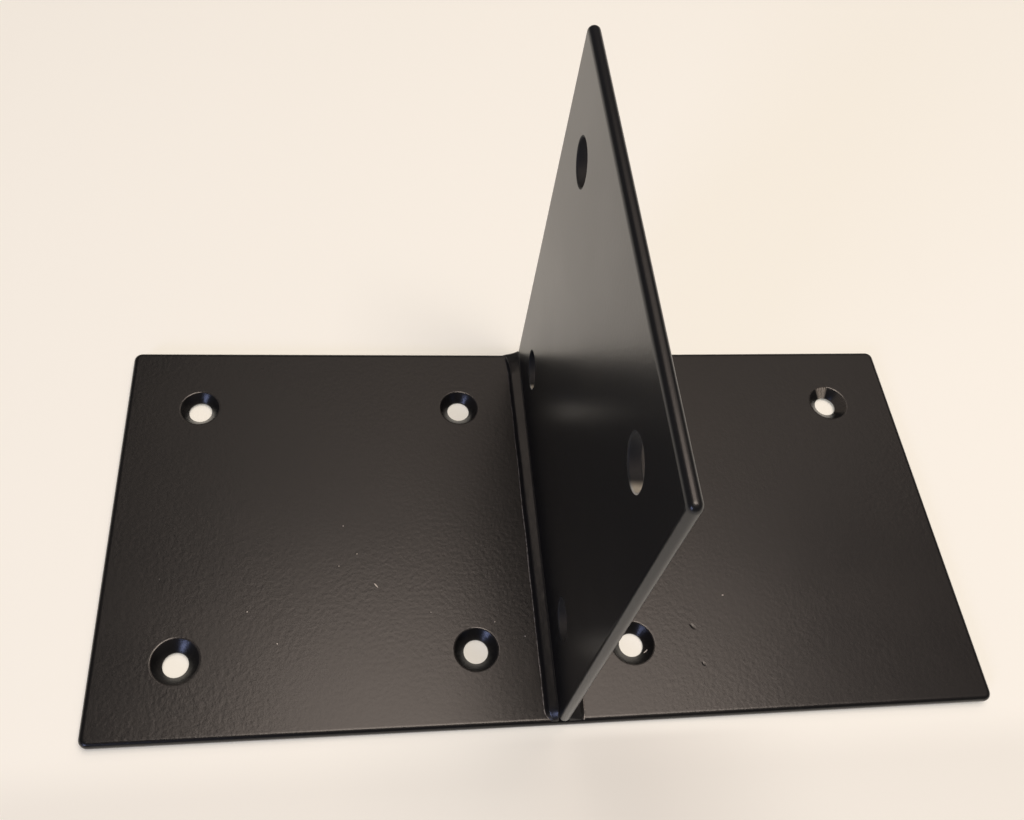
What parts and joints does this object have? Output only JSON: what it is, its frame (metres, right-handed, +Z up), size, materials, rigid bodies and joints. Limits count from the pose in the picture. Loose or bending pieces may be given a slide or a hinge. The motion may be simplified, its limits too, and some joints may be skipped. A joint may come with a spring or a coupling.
{
  "type": "welded t-plate bracket",
  "caption": "Welded steel T-plate: a flat base plate with countersunk screw holes and a square upright plate with bolt holes.",
  "frame": {"origin": "centre of the base plate's underside", "axes": "+X along the base's length towards the wing with the diagonal pair of screw holes, +Z up the upright, +Y along the upright's foot"},
  "size_m": [0.2, 0.098, 0.104],
  "materials": {
    "coated_steel": "satin black powder coat on mild steel plate, faint orange peel",
    "coated_weld": "satin black powder coat over a fillet weld bead"
  },
  "bodies": {
    "root": {"base_plate": "coated_steel", "upright_plate": "coated_steel", "weld_bead_left": "coated_weld", "weld_bead_right": "coated_weld"}
  },
  "joints": []
}
